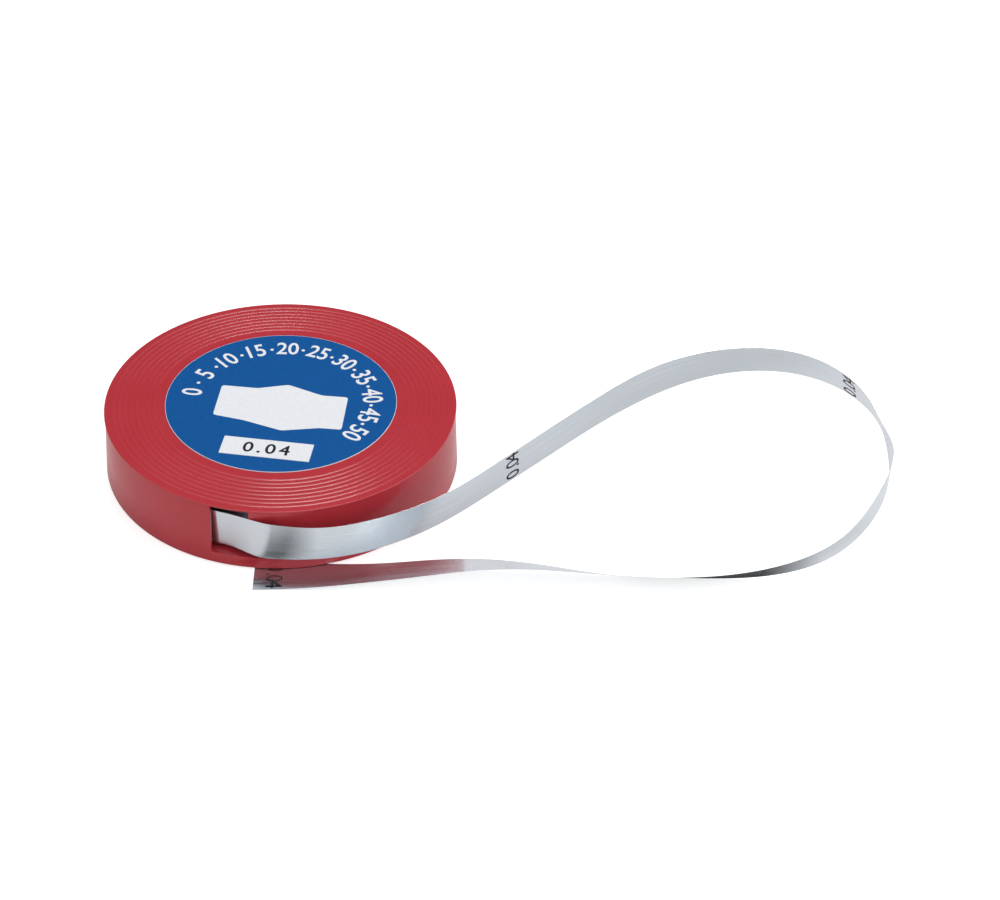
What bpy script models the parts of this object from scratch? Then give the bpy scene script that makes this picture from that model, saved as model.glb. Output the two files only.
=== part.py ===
"""Precision steel band in a round plastic dispenser case.

The case lies flat, its axis is +Z, and the origin is on that axis at the floor. The coil lies just
inside the wall. Its outer end crosses a window, leaves by a slot beside it, climbs away from the
case, swings round in a loose loop and ends flat on the floor, under the case's rim.
"""
import math

import bmesh
import bpy
import numpy as np

MM = 0.001

# Case: a round tub that stands on the flat middle of its underside
CASE_RADIUS = 58.4 * MM
CASE_DRAFT = 1.0 * MM
CASE_WALL = 1.5 * MM
CASE_FLOOR = 2.0 * MM
SEAT_TOP = 4.4 * MM
SEAT_WIDTH = 6.0 * MM
RIM_LIFT = 0.35 * MM
RIM_WIDTH = 6.9 * MM
RIM_ROUND = 0.25 * MM

# Lid: a disc with a thin edge, a skirt that plugs into the tub, and fine rings round its top
HEADROOM = 4.5 * MM
LID_OVERHANG = 0.35 * MM
LID_EDGE = 0.5 * MM
LID_THICKNESS = 1.0 * MM
LID_ROUND = 0.3 * MM
SKIRT_DEPTH = 1.8 * MM
SKIRT_THICKNESS = 1.2 * MM
RING_COUNT = 8
RING_PITCH = 1.9 * MM
RING_WIDTH = 0.7 * MM
RING_HEIGHT = 0.2 * MM
RING_MARGIN = 2.75 * MM

# Window in the wall, open up to the lid, and the lower slot beside it where the band crosses the
# wall. Angles run anticlockwise from +X, in degrees
WINDOW_ANGLE = 252.2
WINDOW_WIDTH = 12.5 * MM
EXIT_ANGLE = 262.2
EXIT_WIDTH = 9.5 * MM
EXIT_HEIGHT = 14.4 * MM
SILL_DROP = 0.1 * MM

# Paper on the lid
LABEL_MARGIN = 3.7 * MM
PAPER_THICKNESS = 0.15 * MM
STICKER_LENGTH = 29.2 * MM
STICKER_WIDTH = 9.0 * MM
STICKER_INSET = 11.7 * MM
STICKER_ANGLE = 258.4
STICKER_TURN = -13.0

# Steel band
BAND_LENGTH = 5000.0 * MM
BAND_WIDTH = 13.0 * MM
BAND_THICKNESS = 0.04 * MM
COIL_SLACK = 2.8 * MM
COIL_WANDER = 0.05 * MM
TAIL_DEPTH = 0.2 * MM
TAIL_ANGLES = (-34.0, -30.0, -26.0)

# Fits
CLEARANCE = 0.3 * MM
PAPER_GAP = 0.05 * MM

TURN_STEPS = 90
ARC_STEPS = 3
STRIP_STEPS = 130
MERGE_DISTANCE = 0.00001

# The free end's route from the coil on, each row with the angle on from the window's middle in
# degrees, the distance of the band's middle from the case's radius and the height of its lower
# edge, both in route units, and its lean to the left of its run in degrees
ROUTE_UNIT = 1.0 * MM
ROUTE = (
    (-20.0, -4.95, 4.7, 1.5),
    (-14.0, -4.45, 4.7, 5.5),
    (-8.6, -3.85, 4.7, 9.5),
    (-4.5, -3.3, 4.7, 10.2),
    (0.2, -2.65, 4.7, 9.1),
    (4.4, -2.0, 4.75, 7.8),
    (9.6, -0.95, 4.8, 6.2),
    (12.4, -0.4, 4.85, 4.2),
    (15.8, 0.5, 4.95, 1),
    (19.1, 1.25, 5.05, 0),
    (29.6, 3.5, 5.55, -3.5),
    (40.2, 5.7, 6.35, -3.8),
    (50.2, 8.2, 7.4, -5.2),
    (60.2, 11.4, 8.8, -6.8),
    (77.6, 19.5, 12.4, -6.5),
    (91.2, 32.8, 16.7, -5.3),
    (100.2, 49.3, 21.05, -5.3),
    (103.8, 60.9, 23.8, -5),
    (105.8, 73, 26.4, -9),
    (106.4, 93, 29.95, -17),
    (103.9, 117, 31.7, -24.2),
    (98.9, 134.4, 27.9, -27.4),
    (96.4, 138.5, 23.8, -20),
    (93.9, 141, 19.4, -2.5),
    (90.6, 138.9, 13.8, 3),
    (85.3, 128.6, 5.4, 20.5),
    (80.9, 109.7, 0.8, 37.1),
    (76.5, 86.6, 0.05, 48),
    (71.9, 65.5, 0.35, 50.5),
    (66.8, 47.3, 2.3, 57),
    (59.2, 30.5, 3.2, 65.8),
    (49, 17.8, 1.8, 72.4),
    (38.6, 10.1, 0.35, 76.2),
    (25.7, 4.9, 0.03, 84),
    (8.0, 3.5, 0.02, 90),
)

# Levels and radii that follow from the sizes above
coil_bottom = SEAT_TOP + CLEARANCE
coil_top = coil_bottom + BAND_WIDTH
lid_under = coil_top + HEADROOM
wall_top = lid_under - CLEARANCE
lid_top = lid_under + LID_EDGE
top_radius = CASE_RADIUS - CASE_DRAFT
inner_radius = top_radius - CASE_WALL
plug_radius = inner_radius - CLEARANCE
coil_radius = inner_radius - COIL_SLACK
lid_radius = top_radius + LID_OVERHANG
label_radius = lid_radius - RING_MARGIN - (RING_COUNT - 1) * RING_PITCH - LABEL_MARGIN


def clear_scene():
    for item in list(bpy.data.objects):
        bpy.data.objects.remove(item, do_unlink=True)


def collection(name):
    made = bpy.data.collections.new(name)
    bpy.context.scene.collection.children.link(made)
    return made


def material(name, colour, roughness, metallic=0.0):
    made = bpy.data.materials.new(name)
    made.use_nodes = True
    shader = made.node_tree.nodes["Principled BSDF"]
    shader.inputs["Base Color"].default_value = (*colour, 1.0)
    shader.inputs["Roughness"].default_value = roughness
    shader.inputs["Metallic"].default_value = metallic
    return made


def add(name, data, group, look=None):
    made = bpy.data.objects.new(name, data)
    group.objects.link(made)
    if look:
        data.materials.append(look)
    return made


def arc(middle, radius, start, end, steps=ARC_STEPS):
    """Points of a round corner in the profile plane, angles in degrees."""
    turns = [math.radians(start + (end - start) * i / steps) for i in range(steps + 1)]
    return [(middle[0] + radius * math.cos(t), middle[1] + radius * math.sin(t)) for t in turns]


def turned(name, profile, group, look, closed=False):
    """A profile of (radius, height) points turned round +Z. It runs down its outer side."""
    mesh = bpy.data.meshes.new(name)
    edges = [(i, i + 1) for i in range(len(profile) - 1)]
    if closed:
        edges.append((len(profile) - 1, 0))
    mesh.from_pydata([(r, 0.0, z) for r, z in profile], edges, [])
    made = add(name, mesh, group, look)
    screw = made.modifiers.new("Turn", "SCREW")
    screw.axis = "Z"
    screw.angle = math.tau
    screw.steps = TURN_STEPS
    screw.render_steps = TURN_STEPS
    screw.use_merge_vertices = True
    screw.merge_threshold = MERGE_DISTANCE
    screw.use_smooth_shade = True
    return made


def combine(target, operand, operation):
    step = target.modifiers.new(operation.title(), "BOOLEAN")
    step.operation = operation
    step.object = operand
    step.solver = "EXACT"
    operand.hide_render = True
    operand.display_type = "WIRE"


def around(angle, radius):
    return radius * math.cos(math.radians(angle)), radius * math.sin(math.radians(angle))


def case_body(group, cutters, look):
    rim = CASE_RADIUS - RIM_WIDTH
    profile = [
        (0.0, CASE_FLOOR),
        (inner_radius - SEAT_WIDTH, CASE_FLOOR),
        (inner_radius - SEAT_WIDTH, SEAT_TOP),
        (inner_radius + CASE_DRAFT, SEAT_TOP),
        (inner_radius, wall_top),
        (top_radius, wall_top),
        *arc((CASE_RADIUS - RIM_ROUND, RIM_LIFT + RIM_ROUND), RIM_ROUND, 0, -90),
        (rim, RIM_LIFT),
        (rim, 0.0),
        (0.0, 0.0),
    ]
    body = turned("case_body", profile, group, look)
    window_height = lid_under - SEAT_TOP + SILL_DROP
    window = wall_cutter("window_cutter", cutters, WINDOW_ANGLE, WINDOW_WIDTH, window_height)
    combine(body, window, "DIFFERENCE")
    slot = wall_cutter("exit_cutter", cutters, EXIT_ANGLE, EXIT_WIDTH, EXIT_HEIGHT)
    combine(body, slot, "DIFFERENCE")
    return body


def wall_cutter(name, cutters, angle, width, height):
    """A block through the wall, from the sill up."""
    depth = 2 * (CASE_WALL + CASE_DRAFT)
    middle = SEAT_TOP - SILL_DROP + height / 2
    bpy.ops.mesh.primitive_cube_add(size=1.0)
    cutter = bpy.context.active_object
    cutter.name = name
    for owner in list(cutter.users_collection):
        owner.objects.unlink(cutter)
    cutters.objects.link(cutter)
    cutter.scale = (depth, width, height)
    cutter.rotation_euler.z = math.radians(angle)
    cutter.location = (*around(angle, CASE_RADIUS - CASE_WALL / 2), middle)
    return cutter


def case_lid(group, look):
    first = lid_radius - RING_MARGIN - (RING_COUNT - 1) * RING_PITCH
    profile = [(0.0, lid_top)]
    for i in range(RING_COUNT):
        crest = first + i * RING_PITCH
        profile += [
            (crest - RING_WIDTH / 2, lid_top),
            (crest, lid_top + RING_HEIGHT),
            (crest + RING_WIDTH / 2, lid_top),
        ]
    profile += arc((lid_radius - LID_ROUND, lid_top - LID_ROUND), LID_ROUND, 90, 0)
    profile += [
        (lid_radius, lid_under),
        (plug_radius, lid_under),
        (plug_radius, lid_under - SKIRT_DEPTH),
        (plug_radius - SKIRT_THICKNESS, lid_under - SKIRT_DEPTH),
        (plug_radius - SKIRT_THICKNESS, lid_top - LID_THICKNESS),
        (0.0, lid_top - LID_THICKNESS),
    ]
    return turned("case_lid", profile, group, look)


def paper(name, mesh, group, look, place, turn=0.0):
    made = add(name, mesh, group, look)
    made.location = place
    made.rotation_euler.z = math.radians(turn)
    return made


def label(group, look):
    shape = bmesh.new()
    bmesh.ops.create_cone(
        shape,
        cap_ends=True,
        segments=TURN_STEPS,
        radius1=label_radius,
        radius2=label_radius,
        depth=PAPER_THICKNESS,
    )
    mesh = bpy.data.meshes.new("label")
    shape.to_mesh(mesh)
    shape.free()
    return paper("label", mesh, group, look, (0.0, 0.0, lid_top + PAPER_GAP + PAPER_THICKNESS / 2))


def size_sticker(group, look):
    shape = bmesh.new()
    bmesh.ops.create_cube(shape, size=1.0)
    bmesh.ops.scale(shape, vec=(STICKER_LENGTH, STICKER_WIDTH, PAPER_THICKNESS), verts=shape.verts)
    mesh = bpy.data.meshes.new("size_sticker")
    shape.to_mesh(mesh)
    shape.free()
    height = lid_top + 2 * PAPER_GAP + 1.5 * PAPER_THICKNESS
    place = (*around(STICKER_ANGLE, label_radius - STICKER_INSET), height)
    return paper("size_sticker", mesh, group, look, place, STICKER_TURN)


def spline(knots, values, at):
    """Natural cubic spline through rows of values at the knots."""
    gaps = np.diff(knots)
    system = np.eye(len(knots))
    right = np.zeros_like(values)
    for i in range(1, len(knots) - 1):
        system[i, i - 1 : i + 2] = gaps[i - 1], 2 * (gaps[i - 1] + gaps[i]), gaps[i]
        right[i] = 6 * ((values[i + 1] - values[i]) / gaps[i] - (values[i] - values[i - 1]) / gaps[i - 1])
    bend = np.linalg.solve(system, right)
    k = np.clip(np.searchsorted(knots, at) - 1, 0, len(knots) - 2)
    h = gaps[k][:, None]
    after = knots[k + 1][:, None] - at[:, None]
    before = at[:, None] - knots[k][:, None]
    curved = (bend[k] * after**3 + bend[k + 1] * before**3) / (6 * h)
    straight = (values[k] / h - bend[k] * h / 6) * after + (values[k + 1] / h - bend[k + 1] * h / 6) * before
    return curved + straight


def strip_stations():
    """Rows of x, y, z of the band's middle line and its lean, from inside the coil to its free end."""
    rows = [(angle, coil_radius - TAIL_DEPTH, coil_bottom, 0.0) for angle in TAIL_ANGLES]
    rows += [(a, CASE_RADIUS + out * ROUTE_UNIT, low * ROUTE_UNIT, lean) for a, out, low, lean in ROUTE]
    points = []
    for angle, radius, low, lean in rows:
        upright = math.cos(math.radians(lean))
        middle = low + (BAND_WIDTH * upright + BAND_THICKNESS) / 2
        points.append((*around(WINDOW_ANGLE + angle, radius), middle, math.radians(lean)))
    points = np.array(points)
    steps = np.linalg.norm(np.diff(points[:, :3], axis=0), axis=1)
    knots = np.concatenate([[0.0], np.cumsum(steps)])
    return spline(knots, points, np.linspace(0.0, knots[-1], STRIP_STEPS + 1))


def free_strip(stations, cutters):
    """The free end as a ribbon that the solidify step gives the band's thickness."""
    curve = bpy.data.curves.new("strip_line", "CURVE")
    curve.dimensions = "3D"
    curve.twist_mode = "Z_UP"
    curve.extrude = BAND_WIDTH / 2
    line = curve.splines.new("POLY")
    line.points.add(len(stations) - 1)
    for point, (x, y, z, lean) in zip(line.points, stations):
        point.co = (x, y, z, 1.0)
        point.tilt = -lean
    guide = add("strip_line", curve, cutters)
    bpy.context.view_layer.update()
    evaluated = guide.evaluated_get(bpy.context.evaluated_depsgraph_get())
    mesh = bpy.data.meshes.new_from_object(evaluated)
    bpy.data.objects.remove(guide, do_unlink=True)
    strip = add("free_strip", mesh, cutters)
    solid = strip.modifiers.new("Thickness", "SOLIDIFY")
    solid.thickness = BAND_THICKNESS
    solid.offset = 0.0
    return strip


def steel_band(group, cutters, look):
    stations = strip_stations()
    free_length = np.linalg.norm(np.diff(stations[:, :3], axis=0), axis=1).sum()
    turns = (BAND_LENGTH - free_length) / (math.tau * coil_radius)
    bore = coil_radius - turns * BAND_THICKNESS
    low = coil_bottom - COIL_WANDER
    high = coil_top + COIL_WANDER
    profile = [(bore, high), (coil_radius, high), (coil_radius, low), (bore, low)]
    band = turned("steel_band", profile, group, look, closed=True)
    combine(band, free_strip(stations, cutters), "UNION")
    return band


def main():
    clear_scene()
    parts = collection("feeler_band_case")
    cutters = collection("cutters")
    red = material("red_plastic", (0.47, 0.035, 0.05), 0.25)
    blue = material("blue_paper", (0.01, 0.09, 0.32), 0.45)
    white = material("white_paper", (0.75, 0.77, 0.8), 0.5)
    steel = material("spring_steel", (0.55, 0.6, 0.65), 0.18, 1.0)
    case_body(parts, cutters, red)
    case_lid(parts, red)
    label(parts, blue)
    size_sticker(parts, white)
    steel_band(parts, cutters, steel)


main()
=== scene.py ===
import math

import bmesh
import bpy
import numpy as np
from mathutils import Matrix, Vector


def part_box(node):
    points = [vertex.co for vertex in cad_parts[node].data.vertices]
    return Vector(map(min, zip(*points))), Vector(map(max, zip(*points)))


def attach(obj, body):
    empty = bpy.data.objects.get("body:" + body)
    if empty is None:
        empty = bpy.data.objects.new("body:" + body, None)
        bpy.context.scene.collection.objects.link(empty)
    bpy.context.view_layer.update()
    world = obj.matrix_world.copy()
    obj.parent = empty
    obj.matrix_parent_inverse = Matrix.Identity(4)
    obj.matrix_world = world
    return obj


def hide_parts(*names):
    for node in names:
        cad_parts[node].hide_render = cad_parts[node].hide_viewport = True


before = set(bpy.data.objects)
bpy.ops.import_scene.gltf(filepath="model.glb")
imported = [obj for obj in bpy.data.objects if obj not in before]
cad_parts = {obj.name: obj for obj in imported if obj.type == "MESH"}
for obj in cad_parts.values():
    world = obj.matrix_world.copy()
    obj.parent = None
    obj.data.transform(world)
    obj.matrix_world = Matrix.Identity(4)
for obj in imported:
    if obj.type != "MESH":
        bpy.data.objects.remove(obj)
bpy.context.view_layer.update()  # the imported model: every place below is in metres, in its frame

mm = 0.001
mergeGap = 0.0002 * mm  # points of one mesh nearer than this become one
print("frame loaded, nodes:", ", ".join(sorted(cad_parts)))


# Camera: it looks at the middle of the case's foot, from the front and above

cameraValues = {
    "elevation": 37.77,  # degrees above the floor
    "distance": 720.4 * mm,
    "lens": 76.77,  # mm
    "sensorWidth": 36,  # mm
    "roll": 2.04,  # degrees
    "imageSize": (1000, 900),
    "aimPixel": (283.3, 448.0),  # where the case's middle at the floor appears
}


def placeCamera(values):
    up = math.radians(values["elevation"])
    place = Vector((0, -math.cos(up), math.sin(up))) * values["distance"]
    ahead = -place.normalized()
    right = ahead.cross(Vector((0, 0, 1))).normalized()
    level = Matrix((right, right.cross(ahead), -ahead))
    width, height = values["imageSize"]
    focal = values["lens"] / values["sensorWidth"] * width
    aimX, aimY = values["aimPixel"]
    sight = Vector(((aimX - width / 2) / focal, (height / 2 - aimY) / focal, -1))
    swing = Vector((0, 0, -1)).rotation_difference(sight).to_matrix()
    roll = Matrix.Rotation(math.radians(values["roll"]), 3, "Z")
    data = bpy.data.cameras.new("photoCamera")
    data.lens = values["lens"]
    data.sensor_width = values["sensorWidth"]
    data.clip_start = 10 * mm
    camera = bpy.data.objects.new("photoCamera", data)
    turn = (roll @ swing @ level).transposed()
    camera.matrix_world = Matrix.Translation(place) @ turn.to_4x4()
    bpy.context.scene.collection.objects.link(camera)
    bpy.context.scene.camera = camera


placeCamera(cameraValues)
print("camera placed")


# Small tools that every piece uses


def put(tree, kind, inputs=None, **settings):
    node = tree.nodes.new(kind)
    for option, value in settings.items():
        setattr(node, option, value)
    for key, value in (inputs or {}).items():
        if isinstance(value, bpy.types.NodeSocket):
            tree.links.new(value, node.inputs[key])
        else:
            node.inputs[key].default_value = value
    return node


def maths(tree, operation, *values):
    return put(tree, "ShaderNodeMath", dict(enumerate(values)), operation=operation).outputs[0]


def addObject(name, data, look=None):
    made = bpy.data.objects.new(name, data)
    bpy.context.scene.collection.objects.link(made)
    if look:
        data.materials.clear()
        data.materials.append(look)
    return made


def meshFrom(name, points, faces):
    mesh = bpy.data.meshes.new(name)
    mesh.from_pydata([tuple(p) for p in points], [], faces)
    mesh.update()
    return mesh


def smoothShade(mesh, sharpAngle=35):
    mesh.shade_smooth()
    mesh.set_sharp_from_angle(angle=math.radians(sharpAngle))


def plainMesh(holder, name):
    bpy.context.view_layer.update()
    made = bpy.data.meshes.new_from_object(holder.evaluated_get(bpy.context.evaluated_depsgraph_get()))
    made.name = name
    bpy.data.objects.remove(holder, do_unlink=True)
    return made


def around(angle, radius, height=0.0):
    turn = math.radians(angle)
    return Vector((radius * math.cos(turn), radius * math.sin(turn), height))


def roundCorner(middle, radius, start, end, steps):
    turns = [math.radians(start + (end - start) * i / steps) for i in range(steps + 1)]
    return [(middle[0] + radius * math.cos(t), middle[1] + radius * math.sin(t)) for t in turns]


# The profile's points are (radius, height), and it runs down its outer side
def turnedMesh(name, profile, steps):
    points, rings = [], []
    for radius, height in profile:
        count = steps if radius > 1e-7 else 1
        rings.append([len(points) + i for i in range(count)])
        points += [around(360 * i / steps, radius, height) for i in range(count)]
    faces = []
    for upper, lower in zip(rings, rings[1:]):
        for i in range(steps):
            j = (i + 1) % steps
            corners = [upper[i % len(upper)], lower[i % len(lower)], lower[j % len(lower)]]
            if len(lower) == 1:
                corners[2] = upper[j]
            elif len(upper) > 1:
                corners.append(upper[j])
            faces.append(corners)
    return meshFrom(name, points, faces)


def finishPiece(piece, nodes=()):
    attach(piece, "root")
    if nodes:
        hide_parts(*nodes)
    print(piece.name, "made,", sum(len(p.vertices) - 2 for p in piece.data.polygons), "triangles")


# Materials

plasticValues = {
    "colour": (0.51, 0.036, 0.05),
    "shade": (0.485, 0.032, 0.045),  # slow drift of the pigment
    "roughness": (0.17, 0.24),  # in the grain's hollows and on its crests
    "gloss": 0.45,
    "cloudSize": 25 * mm,
    "grainSize": 0.7 * mm,
    "grainDepth": 0.0008 * mm,
}

paperValues = {
    "white": (0.84, 0.86, 0.89),
    "whiteShade": (0.79, 0.81, 0.85),
    "blue": (0.002, 0.096, 0.34),
    "blueShade": (0.0015, 0.088, 0.315),
    "ink": (0.018, 0.02, 0.026),
    "whiteRoughness": (0.45, 0.55),
    "blueRoughness": (0.306, 0.374),
    "inkRoughness": (0.36, 0.44),
    "gloss": 0.12,
    "fibreSize": 0.9 * mm,
    "fibreDepth": 0.002 * mm,
}

steelValues = {
    "colour": (0.72, 0.755, 0.785),
    "shade": (0.6, 0.635, 0.67),
    "roughness": (0.272, 0.112),  # in the dull streaks and in the bright ones
    "anisotropy": 0.9,
    "grainTurn": 0.25,  # of a full turn, so that the gloss spreads across the rolling marks
    "metal": 0.93,  # the rest scatters light like a dull film
    "mist": (0.66, 0.72, 0.79),  # soft bluish clouds over the streaks
    "mistLength": 16 * mm,
    "mistWidth": 5 * mm,
    "mistShare": 0.7,  # how far a cloud covers the streaks
    "streakLength": 45 * mm,
    "streakWidth": 0.35 * mm,
    "streakDepth": 0.001 * mm,
}


def startMaterial(name):
    look = bpy.data.materials.new(name)
    look.use_nodes = True
    return look, look.node_tree, look.node_tree.nodes["Principled BSDF"]


def noise(tree, place, scale, detail):
    inputs = {"Vector": place, "Scale": scale, "Detail": detail}
    return put(tree, "ShaderNodeTexNoise", inputs).outputs["Fac"]


def roughen(tree, shader, height, depth):
    bump = put(tree, "ShaderNodeBump", {"Height": height, "Distance": depth})
    tree.links.new(bump.outputs["Normal"], shader.inputs["Normal"])


def twoTone(tree, factor, first, second, low=0.35, high=0.65):
    ramp = put(tree, "ShaderNodeValToRGB", {"Fac": factor})
    ramp.color_ramp.elements[0].position = low
    ramp.color_ramp.elements[0].color = (*first, 1)
    ramp.color_ramp.elements[1].position = high
    ramp.color_ramp.elements[1].color = (*second, 1)
    return ramp.outputs["Color"]


def ranged(tree, value, fromLow, fromHigh, toLow, toHigh):
    inputs = {"Value": value, "From Min": fromLow, "From Max": fromHigh, "To Min": toLow, "To Max": toHigh}
    return put(tree, "ShaderNodeMapRange", inputs).outputs["Result"]


# The middle of a noise, from its own 0.3 to 0.7, made to run from low to high
def spread(tree, value, low, high):
    return ranged(tree, value, 0.3, 0.7, low, high)


def plasticMaterial(values):
    look, tree, shader = startMaterial("mouldedRedPlastic")
    place = put(tree, "ShaderNodeTexCoord").outputs["Object"]
    cloud = noise(tree, place, 1 / values["cloudSize"], 4)
    grain = noise(tree, place, 1 / values["grainSize"], 2)
    tone = twoTone(tree, cloud, values["shade"], values["colour"])
    tree.links.new(tone, shader.inputs["Base Color"])
    rough = spread(tree, grain, *values["roughness"])
    tree.links.new(rough, shader.inputs["Roughness"])
    shader.inputs["Specular IOR Level"].default_value = values["gloss"]
    roughen(tree, shader, grain, values["grainDepth"])
    return look


def paperMaterial(name, colour, shade, roughness, values):
    colour, shade, roughness = (values[key] for key in (colour, shade, roughness))
    look, tree, shader = startMaterial(name)
    place = put(tree, "ShaderNodeTexCoord").outputs["Object"]
    fibre = noise(tree, place, 1 / values["fibreSize"], 5)
    tone = twoTone(tree, fibre, shade, colour)
    tree.links.new(tone, shader.inputs["Base Color"])
    rough = spread(tree, fibre, *roughness)
    tree.links.new(rough, shader.inputs["Roughness"])
    shader.inputs["Specular IOR Level"].default_value = values["gloss"]
    roughen(tree, shader, fibre, values["fibreDepth"])
    return look


def steelMaterial(values, bandLength, bandWidth):
    look, tree, shader = startMaterial("springSteel")
    run = put(tree, "ShaderNodeUVMap", uv_map="bandRun").outputs["UV"]
    size = (bandLength / values["streakLength"], bandWidth / values["streakWidth"], 1)
    along = put(tree, "ShaderNodeMapping", {"Vector": run, "Scale": size}).outputs["Vector"]
    streak = noise(tree, along, 1, 4)
    tone = twoTone(tree, streak, values["shade"], values["colour"], 0.3, 0.6)
    size = (bandLength / values["mistLength"], bandWidth / values["mistWidth"], 1)
    drift = put(tree, "ShaderNodeMapping", {"Vector": run, "Scale": size}).outputs["Vector"]
    mist = spread(tree, noise(tree, drift, 1, 3), 0, values["mistShare"])
    tone = put(tree, "ShaderNodeMixRGB", {"Fac": mist, "Color1": tone, "Color2": (*values["mist"], 1)})
    tree.links.new(tone.outputs["Color"], shader.inputs["Base Color"])
    rough = spread(tree, streak, *values["roughness"])
    tree.links.new(rough, shader.inputs["Roughness"])
    roughen(tree, shader, streak, values["streakDepth"])
    grainway = put(tree, "ShaderNodeTangent", direction_type="UV_MAP", uv_map="bandRun").outputs["Tangent"]
    tree.links.new(grainway, shader.inputs["Tangent"])
    shader.inputs["Anisotropic"].default_value = values["anisotropy"]
    shader.inputs["Anisotropic Rotation"].default_value = values["grainTurn"]
    shader.inputs["Metallic"].default_value = values["metal"]
    return look


bandValues = {
    "length": 5000 * mm,
    "width": 13 * mm,
    "thickness": 0.04 * mm,
    "coilRadius": 53.1 * mm,
    "turnPitch": 0.0405 * mm,
    "turnStep": 3,  # degrees
    "wander": 0.05 * mm,  # of the turns' edges, up and down
    "wanderWaves": (2.4, 0.9, 1.7),  # slow wave's radians a turn, quick one's share and waves a turn
    "freeStations": 760,
    "low": 4.7 * mm,
    "tail": (-34, -30, -26),  # degrees on from the window's middle, still in the coil
    "tailDepth": 0.2 * mm,
}

redPlastic = plasticMaterial(plasticValues)
bluePrint = paperMaterial("blueLabelPrint", "blue", "blueShade", "blueRoughness", paperValues)
whitePaper = paperMaterial("whitePaper", "white", "whiteShade", "whiteRoughness", paperValues)
darkInk = paperMaterial("darkInk", "ink", "ink", "inkRoughness", paperValues)
springSteel = steelMaterial(steelValues, bandValues["length"], bandValues["width"])
print("materials made")


# Case body: a round tub with a window and an exit slot in its wall

bodyValues = {
    "radius": 58.4 * mm,
    "draft": 1.0 * mm,
    "wall": 1.5 * mm,
    "floor": 2.0 * mm,
    "seatTop": 4.4 * mm,
    "seatWidth": 6.0 * mm,
    "rimLift": 0.35 * mm,
    "rimWidth": 6.9 * mm,
    "rimRound": 0.25 * mm,
    "edgeRound": 0.12 * mm,
    "lidGap": 0.02 * mm,
    "sill": 4.3 * mm,
    "windowAngle": 252.2,
    "windowWidth": 12.5 * mm,
    "windowOvercut": 1 * mm,  # past the wall's top, as the window is open there
    "exitAngle": 262.2,
    "exitWidth": 9.5 * mm,
    "exitTop": 17.6 * mm,
    "openingEdge": 0.12 * mm,
    "steps": 256,
}


def makeCaseBody(v):
    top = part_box("case_lid")[1].z - lidValues["cadRingHeight"] - lidValues["edge"] - v["lidGap"]
    outer = v["radius"] - v["draft"]
    inner = outer - v["wall"]
    seat = inner - v["seatWidth"]
    soft = v["edgeRound"]
    profile = [
        (0, v["floor"]),
        (seat, v["floor"]),
        *roundCorner((seat + soft, v["seatTop"] - soft), soft, 180, 90, 3),
        (inner + v["draft"], v["seatTop"]),
        *roundCorner((inner + soft, top - soft), soft, 180, 90, 3),
        *roundCorner((outer - soft, top - soft), soft, 90, 0, 3),
        *roundCorner((v["radius"] - v["rimRound"], v["rimLift"] + v["rimRound"]), v["rimRound"], 0, -90, 8),
        *roundCorner((v["radius"] - v["rimWidth"] - soft, soft), soft, 0, -90, 3),
        (0, 0),
    ]
    mesh = turnedMesh("caseBody", profile, v["steps"])
    openings = (
        (v["windowAngle"], v["windowWidth"], top + v["windowOvercut"]),
        (v["exitAngle"], v["exitWidth"], v["exitTop"]),
    )
    for opening in openings:
        holder = addObject("caseBodyBlank", mesh)
        cutter = openingCutter(v, *opening)
        cut = holder.modifiers.new("Opening", "BOOLEAN")
        cut.operation = "DIFFERENCE"
        cut.solver = "EXACT"
        cut.object = cutter
        mesh = plainMesh(holder, "caseBody")
        bpy.data.objects.remove(cutter, do_unlink=True)
    markOpeningEdges(mesh, v, openings)
    holder = addObject("caseBodyCut", mesh)
    soften = holder.modifiers.new("Opening edge", "BEVEL")
    soften.limit_method = "WEIGHT"
    soften.width = v["openingEdge"]
    soften.segments = 2
    mesh = plainMesh(holder, "caseBody")
    smoothShade(mesh)
    body = addObject("caseBody", mesh, redPlastic)
    finishPiece(body, ["case_body"])


def openingCutter(v, angle, width, top):
    depth = 2 * (v["wall"] + v["draft"])
    shape = bmesh.new()
    bmesh.ops.create_cube(shape, size=1)
    bmesh.ops.scale(shape, vec=Vector((depth, width, top - v["sill"])), verts=shape.verts)
    bmesh.ops.rotate(shape, matrix=Matrix.Rotation(math.radians(angle), 3, "Z"), verts=shape.verts)
    middle = around(angle, v["radius"] - v["wall"] / 2, (v["sill"] + top) / 2)
    bmesh.ops.translate(shape, vec=middle, verts=shape.verts)
    mesh = bpy.data.meshes.new("openingCutter")
    shape.to_mesh(mesh)
    shape.free()
    return addObject("openingCutter", mesh)


# The bevel takes only the sharp edges round the openings
def markOpeningEdges(mesh, v, openings):
    near = 0.001 * mm
    wallZone = v["radius"] - 4 * mm  # the wall lies further out than this
    sharp = 0.6  # radians between two faces
    shape = bmesh.new()
    shape.from_mesh(mesh)
    weight = shape.edges.layers.float.new("bevel_weight_edge")

    def onRim(point):
        for angle, width, top in openings:
            place = Matrix.Rotation(-math.radians(angle), 3, "Z") @ point
            aside = abs(place.y) - width / 2
            level = v["sill"] - near < place.z < top + near
            if place.x < wallZone or aside > near or not level:
                continue
            if aside > -near or place.z < v["sill"] + near or place.z > top - near:
                return True
        return False

    for edge in shape.edges:
        if edge.calc_face_angle(0) > sharp and all(onRim(vert.co) for vert in edge.verts):
            edge[weight] = 1
    shape.to_mesh(mesh)
    shape.free()


# Case lid: a disc with a thin edge, fine raised rings and a plug skirt

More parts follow.
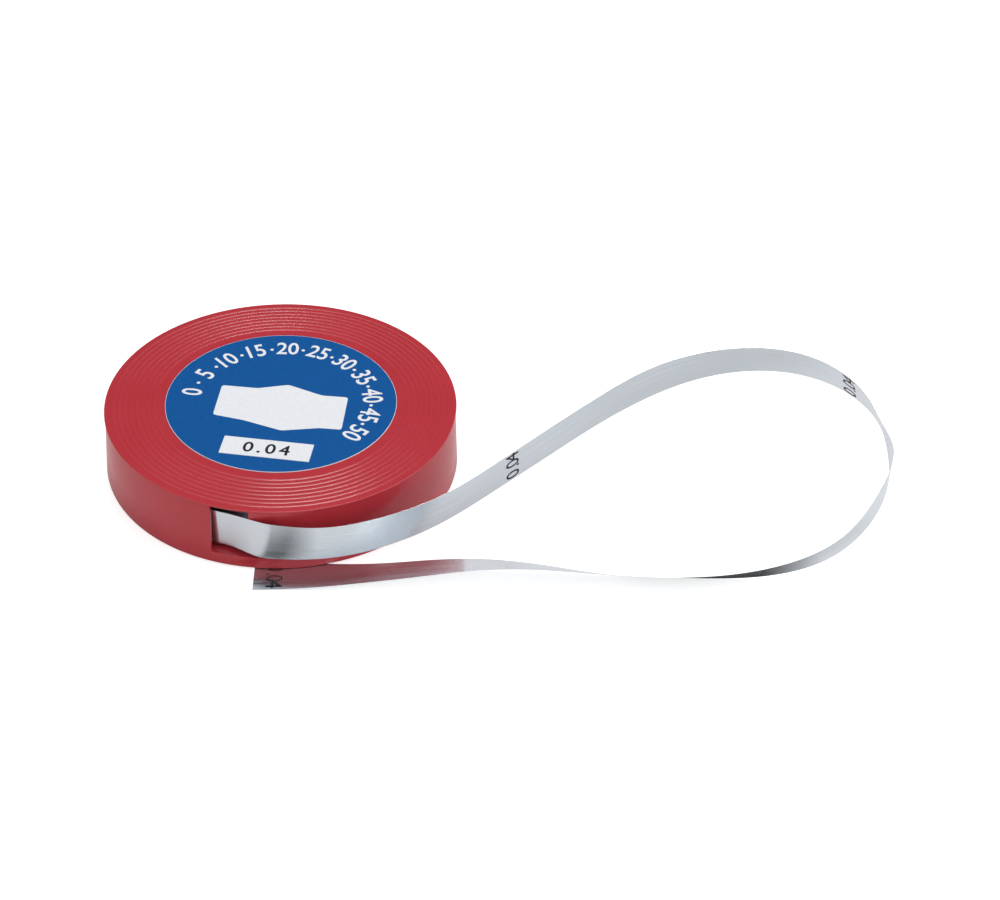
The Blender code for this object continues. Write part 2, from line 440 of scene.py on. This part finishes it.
lidValues = {
    "edge": 0.5 * mm,
    "thickness": 1.0 * mm,
    "edgeRound": 0.3 * mm,
    "plugRadius": 55.6 * mm,
    "skirtDepth": 1.8 * mm,
    "skirtWall": 1.2 * mm,
    "ringCount": 8,
    "ringPitch": 1.9 * mm,
    "ringWidth": 0.9 * mm,
    "ringHeight": 0.1 * mm,
    "cadRingHeight": 0.2 * mm,
    "ringMargin": 2.75 * mm,
    "steps": 288,
}


def makeCaseLid(v):
    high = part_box("case_lid")[1]
    radius = high.x
    top = high.z - v["cadRingHeight"]
    under = top - v["edge"]
    plate = top - v["thickness"]
    plug = v["plugRadius"]
    first = radius - v["ringMargin"] - (v["ringCount"] - 1) * v["ringPitch"]
    profile = [(0, top), (first - v["ringPitch"] / 2, top)]
    half = v["ringWidth"] / 2
    for i in range(v["ringCount"]):
        crest = first + i * v["ringPitch"]
        for share in (-1, -0.75, -0.5, -0.25, 0, 0.25, 0.5, 0.75, 1):
            lift = (1 + math.cos(math.pi * share)) / 2
            profile.append((crest + half * share, top + v["ringHeight"] * lift))
    soft = v["edgeRound"]
    profile += roundCorner((radius - soft, top - soft), soft, 90, 0, 8)
    profile += [
        (radius, under),
        (plug, under),
        (plug, under - v["skirtDepth"]),
        (plug - v["skirtWall"], under - v["skirtDepth"]),
        (plug - v["skirtWall"], plate),
        (0, plate),
    ]
    mesh = turnedMesh("caseLid", profile, v["steps"])
    smoothShade(mesh)
    lid = addObject("caseLid", mesh, redPlastic)
    finishPiece(lid, ["case_lid"])
    return top


makeCaseBody(bodyValues)
lidTop = makeCaseLid(lidValues)


# Label: a printed disc, its bare white plaque, a plain number scale, and the size sticker

labelValues = {
    "edgeRound": 0.05 * mm,
    "printMargin": 0.13 * mm,  # bare paper left at the cut edge
    "inkThickness": 0.02 * mm,
    "plaqueCorners": (  # in mm from the case's middle, clockwise from the back left
        (-19.4, 9.9),
        (-7.6, 7.5),
        (2.6, 8.8),
        (13.4, 2.2),
        (22.0, 0.6),
        (19.0, -16.9),
        (11.8, -15.6),
        (-0.5, -16.2),
        (-12.7, -9.8),
        (-22.4, -6.2),
    ),
    "plaqueCorner": 1.0 * mm,
    "scaleStart": 167,  # degrees, then clockwise over the back
    "scaleSpan": 206,
    "scaleCount": 11,
    "scaleStep": 5,
    "numberRadius": 26.6 * mm,
    "numberHeight": 6.9 * mm,
    "numberWeight": 0.013,
    "numberNarrow": 0.82,  # the digits are a narrow face
    "dotRadius": 29.6 * mm,  # where the dots between the numbers lie
    "dotSize": 1.2 * mm,
    "dotSides": 20,
    "steps": 192,
}

stickerValues = {
    "length": 29.2 * mm,
    "width": 9.0 * mm,
    "turn": -13,
    "corner": 0.25 * mm,
    "digitHeight": 5.2 * mm,
    "digitWeight": 0.015,
    "digitSpacing": 1.3,
    "number": "0.04",
}


# The outline runs anticlockwise
def flatSolid(name, outline, low, high, look):
    count = len(outline)
    points = [(x, y, low) for x, y in outline] + [(x, y, high) for x, y in outline]
    faces = [list(range(count - 1, -1, -1)), list(range(count, 2 * count))]
    faces += [[i, (i + 1) % count, count + (i + 1) % count, count + i] for i in range(count)]
    return addObject(name, meshFrom(name, points, faces), look)


def digitsMesh(words, height, thickness, weight, spacing=1.0, centred=True):
    data = bpy.data.curves.new("digits", "FONT")
    data.body = words
    data.size = 1
    data.resolution_u = 4
    data.extrude = 0.5
    data.bevel_depth = weight  # it thickens the strokes
    data.bevel_resolution = 1
    data.space_character = spacing
    holder = addObject("digits", data)
    mesh = plainMesh(holder, "digits")
    points = np.array([tuple(p.co) for p in mesh.vertices])
    scale = height / (points[:, 1].max() - points[:, 1].min())
    points[:, 0] -= (points[:, 0].max() + points[:, 0].min()) / 2 if centred else points[:, 0].min()
    points[:, 1] -= points[:, 1].min()
    points[:, :2] *= scale
    points[:, 2] *= thickness
    mesh.vertices.foreach_set("co", points.ravel())
    mesh.update()
    return mesh


def joinMeshes(name, meshes):
    shape = bmesh.new()
    for mesh in meshes:
        shape.from_mesh(mesh)
        bpy.data.meshes.remove(mesh)
    bmesh.ops.remove_doubles(shape, verts=shape.verts, dist=mergeGap)
    made = bpy.data.meshes.new(name)
    shape.to_mesh(made)
    shape.free()
    return made


def endTree(tree, made, finish):
    real = put(tree, "GeometryNodeRealizeInstances", {"Geometry": made})
    dressed = {"Geometry": real.outputs[0], "Material": finish}
    dressed = put(tree, "GeometryNodeSetMaterial", dressed)
    put(tree, "NodeGroupOutput", {0: dressed.outputs[0]})


# Round dots spread over an arc
def dotTree(sides):
    tree = bpy.data.node_groups.new("scaleDots", "GeometryNodeTree")
    tree.interface.new_socket("Geometry", in_out="INPUT", socket_type="NodeSocketGeometry")
    for name, kind in (
        ("Count", "NodeSocketInt"),
        ("Radius", "NodeSocketFloat"),
        ("Start", "NodeSocketFloat"),
        ("Step", "NodeSocketFloat"),
        ("Size", "NodeSocketFloat"),
        ("Thickness", "NodeSocketFloat"),
        ("Height", "NodeSocketFloat"),
        ("Finish", "NodeSocketMaterial"),
    ):
        tree.interface.new_socket(name, in_out="INPUT", socket_type=kind)
    tree.interface.new_socket("Geometry", in_out="OUTPUT", socket_type="NodeSocketGeometry")
    given = put(tree, "NodeGroupInput").outputs
    index = put(tree, "GeometryNodeInputIndex").outputs[0]
    turn = maths(tree, "MULTIPLY_ADD", index, given["Step"], given["Start"])
    across = maths(tree, "COSINE", turn)
    along = maths(tree, "SINE", turn)
    spoke = put(tree, "ShaderNodeCombineXYZ", {0: across, 1: along}).outputs[0]
    spoke = {0: spoke, "Scale": given["Radius"]}
    spoke = put(tree, "ShaderNodeVectorMath", spoke, operation="SCALE").outputs[0]
    lift = put(tree, "ShaderNodeCombineXYZ", {2: given["Height"]}).outputs[0]
    place = put(tree, "ShaderNodeVectorMath", {0: spoke, 1: lift}, operation="ADD").outputs[0]
    spots = put(tree, "GeometryNodePoints", {"Count": given["Count"], "Position": place})
    half = maths(tree, "MULTIPLY", given["Size"], 0.5)
    dot = {"Vertices": sides, "Radius": half, "Depth": given["Thickness"]}
    dot = put(tree, "GeometryNodeMeshCylinder", dot).outputs[0]
    dots = put(tree, "GeometryNodeInstanceOnPoints", {"Points": spots.outputs[0], "Instance": dot})
    endTree(tree, dots.outputs[0], given["Finish"])
    return tree


def runTree(name, tree, holder, values):
    step = holder.modifiers.new(name, "NODES")
    step.node_group = tree
    sockets = {s.name: s.identifier for s in tree.interface.items_tree if s.in_out == "INPUT"}
    for key, value in values.items():
        step[sockets[key]] = value
    return plainMesh(holder, name)


def makeLabel(v):
    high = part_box("label")[1]
    radius, top = high.x, high.z
    soft = v["edgeRound"]
    profile = [
        (0, top),
        (radius - v["printMargin"], top),
        *roundCorner((radius - soft, top - soft), soft, 90, 0, 4),
        (radius, lidTop),
        (0, lidTop),
    ]
    disc = addObject("labelDisc", turnedMesh("labelDisc", profile, v["steps"]), bluePrint)
    disc.data.materials.append(whitePaper)
    for face in disc.data.polygons:
        rims = [Vector(disc.data.vertices[i].co[:2]).length for i in face.vertices]
        face.material_index = int(min(rims) > radius - 1.1 * v["printMargin"])
    smoothShade(disc.data)
    finishPiece(disc, ["label"])

    corners = [Vector(corner) * mm for corner in reversed(v["plaqueCorners"])]
    outline = softenedOutline(corners, v["plaqueCorner"])
    plaque = flatSolid("labelPlaque", outline, top, top + v["inkThickness"], whitePaper)
    finishPiece(plaque)

    meshes = []
    gap = v["scaleSpan"] / (v["scaleCount"] - 1)
    for i in range(v["scaleCount"]):
        angle = v["scaleStart"] - gap * i
        number = str(i * v["scaleStep"])
        mesh = digitsMesh(number, v["numberHeight"], v["inkThickness"], v["numberWeight"])
        place = Matrix.Translation(around(angle, v["numberRadius"], top + v["inkThickness"] / 2))
        turn = Matrix.Rotation(math.radians(angle - 90), 4, "Z")
        mesh.transform(place @ turn @ Matrix.Diagonal((v["numberNarrow"], 1, 1, 1)))
        meshes.append(mesh)
    numbers = addObject("scaleNumbers", joinMeshes("scaleNumbers", meshes), whitePaper)
    finishPiece(numbers)

    dots = runTree(
        "scaleDots",
        dotTree(v["dotSides"]),
        addObject("dotHolder", bpy.data.meshes.new("dotHolder")),
        {
            "Count": v["scaleCount"] - 1,
            "Radius": v["dotRadius"],
            "Start": math.radians(v["scaleStart"] - gap / 2),
            "Step": -math.radians(gap),
            "Size": v["dotSize"],
            "Thickness": v["inkThickness"],
            "Height": top + v["inkThickness"] / 2,
            "Finish": whitePaper,
        },
    )
    finishPiece(addObject("scaleDots", dots))
    return top


def softenedOutline(corners, radius, steps=4):
    outline = []
    for i, corner in enumerate(corners):
        here, before, after = (Vector(corners[k % len(corners)]) for k in (i, i - 1, i + 1))
        start = here + (before - here).normalized() * radius
        end = here + (after - here).normalized() * radius
        for k in range(steps + 1):
            t = k / steps
            outline.append(start * (1 - t) ** 2 + here * 2 * t * (1 - t) + end * t**2)
    return outline


def makeSticker(v, labelTop):
    low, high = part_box("size_sticker")
    centre = (low + high) / 2
    turn = Matrix.Rotation(math.radians(v["turn"]), 2)
    length, width = v["length"] / 2, v["width"] / 2
    corners = [(-length, -width), (length, -width), (length, width), (-length, width)]
    outline = [turn @ c + centre.to_2d() for c in softenedOutline(corners, v["corner"])]
    sticker = flatSolid("sizeSticker", outline, labelTop, high.z, whitePaper)
    finishPiece(sticker, ["size_sticker"])
    ink = labelValues["inkThickness"]
    mesh = digitsMesh(v["number"], v["digitHeight"], ink, v["digitWeight"], v["digitSpacing"])
    mesh.transform(Matrix.Translation((0, -v["digitHeight"] / 2, 0)))
    place = Matrix.Translation((centre.x, centre.y, high.z + ink / 2))
    mesh.transform(place @ Matrix.Rotation(math.radians(v["turn"]), 4, "Z"))
    finishPiece(addObject("stickerNumber", mesh, darkInk))


labelTop = makeLabel(labelValues)
makeSticker(stickerValues, labelTop)


# Steel band: the coil in the case and the loop outside it, in one run

# The free end's route from the coil on, each row with the angle on from the window's middle in
# degrees, the distance of the band's middle from the case's radius and the height of its lower
# edge, both in mm, and its lean to the left of its run in degrees. The rows from 91.2 degrees on
# are a fit to both edges of the band in the photograph, rounded, and the rows before them were
# moved from that fit
bandRoute = (
    (-20.0, -4.9, 4.9, 0.5),
    (-14.0, -4.0, 5.4, 0),
    (-9.0, -3.25, 5.8, -0.5),
    (-5.0, -2.85, 6.05, -1),
    (-1.2, -2.5, 6.2, -1),
    (2.3, -1.7, 6.3, 0.8),
    (5.7, -0.5, 6.4, 3.5),
    (8.9, 0.75, 6.45, 5.8),
    (12.9, 1.85, 6.45, 4.8),
    (15.9, 2.25, 6.45, 2.8),
    (19.1, 2.85, 6.5, 1),
    (29.3, 5.0, 6.85, -3.2),
    (39.7, 6.85, 7.4, -3.8),
    (49.7, 8.95, 8.2, -5.2),
    (59.8, 11.85, 9.35, -6.8),
    (77.4, 19.6, 12.6, -6.5),
    (91.2, 32.8, 16.7, -5.3),
    (100.2, 49.3, 21.05, -5.3),
    (103.8, 60.9, 23.8, -5),
    (105.8, 73, 26.4, -9),
    (106.4, 93, 29.95, -17),
    (103.9, 117, 31.7, -24.2),
    (98.9, 134.4, 27.9, -27.4),
    (96.4, 138.5, 23.8, -20),
    (93.9, 141, 19.4, -2.5),
    (90.6, 138.9, 13.8, 3),
    (85.3, 128.6, 5.4, 20.5),
    (80.9, 109.7, 0.8, 37.1),
    (76.5, 86.6, 0.05, 48),
    (71.9, 65.5, 0.35, 50.5),
    (66.8, 47.3, 2.3, 57),
    (59.2, 30.5, 3.2, 65.8),
    (49, 17.8, 1.8, 72.4),
    (38.6, 10.1, 0.35, 76.2),
    (25.7, 4.9, 0.03, 84),
    (8.0, 3.5, 0.02, 90),
)


def naturalSpline(knots, values, at):
    gaps = np.diff(knots)
    system = np.eye(len(knots))
    right = np.zeros_like(values)
    for i in range(1, len(knots) - 1):
        system[i, i - 1 : i + 2] = gaps[i - 1], 2 * (gaps[i - 1] + gaps[i]), gaps[i]
        ahead = (values[i + 1] - values[i]) / gaps[i]
        right[i] = 6 * (ahead - (values[i] - values[i - 1]) / gaps[i - 1])
    bend = np.linalg.solve(system, right)
    k = np.clip(np.searchsorted(knots, at) - 1, 0, len(knots) - 2)
    h = gaps[k][:, None]
    after = knots[k + 1][:, None] - at[:, None]
    before = at[:, None] - knots[k][:, None]
    curved = (bend[k] * after**3 + bend[k + 1] * before**3) / (6 * h)
    start = (values[k] / h - bend[k] * h / 6) * after
    return curved + start + (values[k + 1] / h - bend[k + 1] * h / 6) * before


def stepLengths(rows):
    return np.linalg.norm(np.diff(rows[:, :3], axis=0), axis=1)


# Rows of x, y, z of the band's middle line and its lean, from inside the coil to its free end
def freeStations(v):
    rows = [(angle, v["coilRadius"] - v["tailDepth"], v["low"], 0) for angle in v["tail"]]
    rim = bodyValues["radius"]
    rows += [(angle, rim + out * mm, low * mm, lean) for angle, out, low, lean in bandRoute]
    points = []
    for angle, radius, low, lean in rows:
        middle = low + (v["width"] * math.cos(math.radians(lean)) + v["thickness"]) / 2
        place = around(bodyValues["windowAngle"] + angle, radius, middle)
        points.append((*place, math.radians(lean)))
    points = np.array(points)
    knots = np.concatenate([[0.0], np.cumsum(stepLengths(points))])
    return naturalSpline(knots, points, np.linspace(0.0, knots[-1], v["freeStations"] + 1))


# The wound turns, from the innermost end to where the free run begins; each turn's edge wanders
def coilStations(v, free):
    inside = np.linalg.norm(free[0, :2])
    turns = (v["length"] - stepLengths(free).sum()) / (math.tau * inside)
    count = int(turns * 360 / v["turnStep"])
    last = math.atan2(free[0, 1], free[0, 0])
    back = np.arange(count, 0, -1) * math.radians(v["turnStep"])  # angle still to go
    radius = inside - v["turnPitch"] * back / math.tau
    fade = np.clip(back / math.tau, 0, 1)
    slow, share, quick = v["wanderWaves"]
    lift = v["wander"] * fade * np.sin(slow * back / math.tau + share * np.sin(quick * back))
    middle = v["low"] + v["width"] / 2 + lift
    return np.stack([radius * np.cos(last - back), radius * np.sin(last - back), middle, 0 * back], axis=1)


# A flat section swept along a line that carries its own tilt, with the run kept as a UV map
def bandSweepTree():
    tree = bpy.data.node_groups.new("bandSweep", "GeometryNodeTree")
    tree.interface.new_socket("Geometry", in_out="INPUT", socket_type="NodeSocketGeometry")
    for name in ("Width", "Thickness", "Length"):
        tree.interface.new_socket(name, in_out="INPUT", socket_type="NodeSocketFloat")
    tree.interface.new_socket("Finish", in_out="INPUT", socket_type="NodeSocketMaterial")
    tree.interface.new_socket("Geometry", in_out="OUTPUT", socket_type="NodeSocketGeometry")
    given = put(tree, "NodeGroupInput").outputs
    run = put(tree, "GeometryNodeSplineParameter").outputs["Length"]
    line = put(tree, "GeometryNodeCaptureAttribute")
    line.capture_items.new("FLOAT", "run")
    tree.links.new(given["Geometry"], line.inputs[0])
    tree.links.new(run, line.inputs[1])
    section = put(tree, "GeometryNodeCurvePrimitiveQuadrilateral")
    tree.links.new(given["Thickness"], section.inputs[0])
    tree.links.new(given["Width"], section.inputs[1])
    place = put(tree, "GeometryNodeInputPosition").outputs[0]
    shape = put(tree, "GeometryNodeCaptureAttribute")
    shape.capture_items.new("VECTOR", "across")
    tree.links.new(section.outputs[0], shape.inputs[0])
    tree.links.new(place, shape.inputs[1])
    swept = {"Curve": line.outputs[0], "Profile Curve": shape.outputs[0]}
    swept = put(tree, "GeometryNodeCurveToMesh", swept)
    swept.inputs["Fill Caps"].default_value = True
    along = maths(tree, "DIVIDE", line.outputs[1], given["Length"])
    across = put(tree, "ShaderNodeSeparateXYZ", {0: shape.outputs[1]}).outputs[1]
    across = maths(tree, "ADD", maths(tree, "DIVIDE", across, given["Width"]), 0.5)
    value = put(tree, "ShaderNodeCombineXYZ", {0: along, 1: across}).outputs[0]
    kept = put(tree, "GeometryNodeStoreNamedAttribute", data_type="FLOAT2", domain="CORNER")
    kept.inputs["Name"].default_value = "bandRun"
    tree.links.new(swept.outputs[0], kept.inputs["Geometry"])
    tree.links.new(value, kept.inputs["Value"])
    endTree(tree, kept.outputs[0], given["Finish"])
    return tree


def makeBand(v):
    free = freeStations(v)
    stations = np.concatenate([coilStations(v, free), free])
    curve = bpy.data.curves.new("bandLine", "CURVE")
    curve.dimensions = "3D"
    curve.twist_mode = "Z_UP"
    line = curve.splines.new("POLY")
    line.points.add(len(stations) - 1)
    line.points.foreach_set("co", np.column_stack([stations[:, :3], np.ones(len(stations))]).ravel())
    line.points.foreach_set("tilt", -stations[:, 3])
    values = {key.title(): v[key] for key in ("width", "thickness", "length")}
    values["Finish"] = springSteel
    mesh = runTree("steelBand", bandSweepTree(), addObject("bandLine", curve), values)
    smoothShade(mesh, sharpAngle=50)
    band = addObject("steelBand", mesh)
    print("band run in m:", round(float(stepLengths(stations).sum()), 3))
    finishPiece(band, ["steel_band"])
    return free


freeRun = makeBand(bandValues)


# Size marks printed on the band, which repeat along it

markValues = {
    "number": "0 .04",
    "places": (105.2, 231.9, 354.9, 478),  # mm on from the window's left edge, to each mark's middle
    "digitHeight": 5.35 * mm,
    "digitWeight": 0.005,
    "digitSpacing": 0.8,
    "edgeGap": 0.8 * mm,
    "inkThickness": 0.006 * mm,
    "endGap": 0.1 * mm,  # from the far edge, where a mark that is too long stops
    "cutLength": 0.6 * mm,  # how finely the digits bend with the band
    "cutCount": 10,
    "mergeGap": 0.0005 * mm,
}


# For each station: its run, its middle, and the unit directions across and out of the band
def bandFrames(free):
    middle = free[:, :3]
    run = np.concatenate([[0.0], np.cumsum(stepLengths(free))])
    along = np.gradient(middle, run, axis=0)
    along /= np.linalg.norm(along, axis=1)[:, None]
    up = np.array([0.0, 0.0, 1.0]) - along[:, 2:3] * along
    up /= np.linalg.norm(up, axis=1)[:, None]
    side = np.cross(along, up)
    lean = -free[:, 3:4]
    across = np.cos(lean) * up + np.sin(lean) * side
    return run, middle, across, np.cross(along, across)


def rowsAt(at, run, rows):
    return np.stack([np.interp(at, run, rows[:, k]) for k in range(3)], axis=1)


def makeMarks(v, free, band):
    run, middle, across, out = bandFrames(free)
    side = around(bodyValues["windowAngle"] + 90, 1)
    offset = free[:, 0] * side.x + free[:, 1] * side.y
    start = run[np.argmax(offset > -bodyValues["windowWidth"] / 2)]
    meshes = []
    for place in v["places"]:
        size = (v["digitHeight"], v["inkThickness"], v["digitWeight"], v["digitSpacing"])
        mesh = digitsMesh(v["number"], *size, centred=False)
        shape = bmesh.new()
        shape.from_mesh(mesh)
        bmesh.ops.remove_doubles(shape, verts=shape.verts, dist=v["mergeGap"])
        room = band["width"] - v["edgeGap"] - v["endGap"]
        cuts = [((0, k * v["cutLength"], 0), (0, 1, 0), False) for k in range(1, v["cutCount"])]
        for spot, facing, clear in cuts + [((room, 0, 0), (1, 0, 0), True)]:
            cut = {"geom": shape.verts[:] + shape.edges[:] + shape.faces[:]}
            cut |= {"plane_co": spot, "plane_no": facing, "clear_outer": clear}
            made = bmesh.ops.bisect_plane(shape, **cut)
        ends = [e for e in made["geom_cut"] if isinstance(e, bmesh.types.BMEdge)]
        bmesh.ops.edgenet_fill(shape, edges=ends)
        shape.to_mesh(mesh)
        shape.free()
        points = np.array([tuple(p.co) for p in mesh.vertices])
        at = start + place * mm + v["digitHeight"] / 2 - points[:, 1]
        spots, widthways, outward = (rowsAt(at, run, rows) for rows in (middle, across, out))
        reach = points[:, 0:1] + v["edgeGap"] - band["width"] / 2
        lift = band["thickness"] / 2 + v["inkThickness"] / 2 + points[:, 2:3]
        placed = spots + widthways * reach + outward * lift
        mesh.vertices.foreach_set("co", placed.ravel())
        mesh.update()
        meshes.append(mesh)
    marks = addObject("bandMarks", joinMeshes("bandMarks", meshes), darkInk)
    finishPiece(marks)


makeMarks(markValues, freeRun, bandValues)


# Studio: a white floor with patches of painted shade that only reflections see, a white surround that metal
# also sees, and soft lamps

studioValues = {
    "floorSize": 6,
    "floorGap": 0.01 * mm,  # under the object, so that their faces never share a plane
    "floorColour": 0.88,
    "floorGlowSeen": 0.6,  # to the camera
    "floorGlowMirrored": 0.03,  # to the metal and the gloss
    # Painted shade seen only in reflections: dark patches on the floor in front, which only the metal and
    # the gloss
    # see, standing in for shade there: in mm, where each fades in and out to the right, then where it fades
    # in and out to the back
    "mirroredShadePatches": (
        ((-17.2, -16.8, -6, 9), (-96, -76, -60, -58)),
        ((104, 114, 150, 172), (-84, -80, -60, -56)),
    ),
    # the painted shade's colour, seen only by the metal and the gloss
    "mirroredShadeColour": 0.03,
    "fillStrength": 0.62,
    "darkBelt": (0.26, 0.34, 0.84, 0.9),  # upward parts of the direction where the belt fades in and out
    "beltStrength": 0.05,
    "frontStrength": 0.95,
    "beltSide": (0.3, 0.6),  # the belt is dark only behind: parts of the direction to the back
    "topPower": 7.8,
    "topSize": 0.5,
    "topPlace": (0.12, 0.55, 1.5),
    "sidePower": 6,
    "sideSize": 0.8,
    "sidePlace": (1.3, -0.5, 0.55),
}


def makeStudio(v):
    half = v["floorSize"] / 2
    drop = -v["floorGap"]
    corners = [(-half, -half, drop), (half, -half, drop), (half, half, drop), (-half, half, drop)]
    floor = addObject("studioFloor", meshFrom("studioFloor", corners, [[0, 1, 2, 3]]))
    look = bpy.data.materials.new("studioFloor")
    look.use_nodes = True
    tree = look.node_tree
    tree.nodes.clear()
    rays = put(tree, "ShaderNodeLightPath").outputs
    glow = maths(tree, "MULTIPLY", rays["Is Glossy Ray"], v["floorGlowMirrored"])
    for ray in ("Is Camera Ray", "Is Transmission Ray"):
        glow = maths(tree, "MULTIPLY_ADD", rays[ray], v["floorGlowSeen"], glow)
    place = put(tree, "ShaderNodeTexCoord").outputs["Object"]
    across, along = put(tree, "ShaderNodeSeparateXYZ", {0: place}).outputs[:2]
    # Painted shade seen only in reflections: the floor turns dark for glossy rays where a patch lies
    paintedShade = 0
    for limits in v["mirroredShadePatches"]:
        patchShade = rays["Is Glossy Ray"]
        for value, (start, full, last, end) in zip((across, along), limits):
            for low, high in ((start, full), (end, last)):
                patchShade = maths(tree, "MULTIPLY", patchShade, ranged(tree, value, low * mm, high * mm, 0, 1))
        paintedShade = maths(tree, "MAXIMUM", paintedShade, patchShade)
    tone = ranged(tree, paintedShade, 0, 1, v["floorColour"], v["mirroredShadeColour"])
    matt = put(tree, "ShaderNodeBsdfDiffuse", {"Color": tone})
    shine = put(tree, "ShaderNodeEmission", {"Color": (1, 1, 1, 1), "Strength": glow})
    both = put(tree, "ShaderNodeAddShader", {0: matt.outputs[0], 1: shine.outputs[0]})
    put(tree, "ShaderNodeOutputMaterial", {0: both.outputs[0]})
    floor.data.materials.append(look)

    world = bpy.data.worlds.new("studioWorld")
    bpy.context.scene.world = world
    world.use_nodes = True
    tree = world.node_tree
    tree.nodes.clear()
    rays = put(tree, "ShaderNodeLightPath").outputs
    straight = maths(tree, "ADD", rays["Is Camera Ray"], rays["Is Transmission Ray"])
    toward = put(tree, "ShaderNodeTexCoord").outputs["Generated"]
    behind, upward = put(tree, "ShaderNodeSeparateXYZ", {0: toward}).outputs[1:3]
    start, full, last, end = v["darkBelt"]
    fadeIn = ranged(tree, upward, start, full, 1, v["beltStrength"])
    fadeOut = ranged(tree, upward, last, end, 0, 1)
    belt = maths(tree, "MAXIMUM", fadeIn, fadeOut)
    front = ranged(tree, behind, *v["beltSide"], v["frontStrength"], 0)
    belt = maths(tree, "MAXIMUM", belt, front)
    mirrored = ranged(tree, rays["Is Glossy Ray"], 0, 1, v["fillStrength"], belt)
    strength = ranged(tree, straight, 0, 1, mirrored, 1)
    sky = put(tree, "ShaderNodeBackground", {"Color": (1, 1, 1, 1), "Strength": strength})
    put(tree, "ShaderNodeOutputWorld", {0: sky.outputs[0]})

    for name in ("top", "side"):
        lamp = bpy.data.lights.new(name + "Softbox", "AREA")
        lamp.energy = v[name + "Power"]
        lamp.size = v[name + "Size"]
        softbox = addObject(name + "Softbox", lamp)
        softbox.location = v[name + "Place"]
        softbox.rotation_euler = Vector(v[name + "Place"]).to_track_quat("Z", "Y").to_euler()


makeStudio(studioValues)
bpy.context.scene.view_settings.view_transform = "Standard"
print("studio made")
